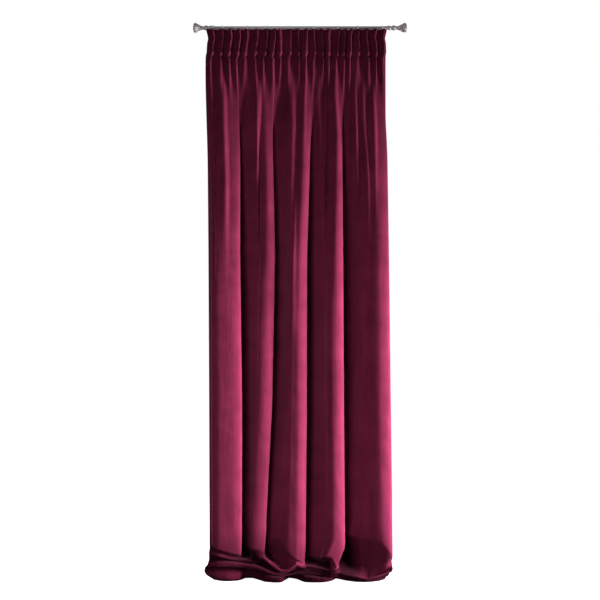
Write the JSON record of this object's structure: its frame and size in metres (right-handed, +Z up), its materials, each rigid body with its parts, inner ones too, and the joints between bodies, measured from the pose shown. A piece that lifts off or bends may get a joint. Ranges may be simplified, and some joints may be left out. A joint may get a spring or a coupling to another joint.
{
  "type": "curtain and rod",
  "caption": "Floor-length burgundy velvet curtain with a finely gathered heading and loose uneven folds, hung by small rings and hooks from a slim metal rod with fluted finials.",
  "frame": {"origin": "middle of the rod's axis, where it is held up", "axes": "+X along the rod to the viewer's right, the cloth's front faces -Y, +Z up"},
  "size_m": [1.0038, 0.178, 2.6128],
  "materials": {
    "burgundy_velvet": "soft cut pile with a bright sheen on the folds",
    "woven_tape": "matt woven tape",
    "brushed_nickel": "satin",
    "polished_nickel": "polished"
  },
  "bodies": {
    "root": {"curtain_panel": "burgundy_velvet", "gathering_tape": "woven_tape", "rod": "brushed_nickel", "finial_left": "brushed_nickel", "finial_right": "brushed_nickel", "ring_1": "polished_nickel", "ring_2": "polished_nickel", "ring_3": "polished_nickel", "ring_4": "polished_nickel", "ring_5": "polished_nickel", "ring_6": "polished_nickel", "ring_7": "polished_nickel", "ring_8": "polished_nickel", "ring_9": "polished_nickel", "hook_1": "polished_nickel", "hook_2": "polished_nickel", "hook_3": "polished_nickel", "hook_4": "polished_nickel", "hook_5": "polished_nickel", "hook_6": "polished_nickel", "hook_7": "polished_nickel", "hook_8": "polished_nickel", "hook_9": "polished_nickel"}
  },
  "joints": []
}
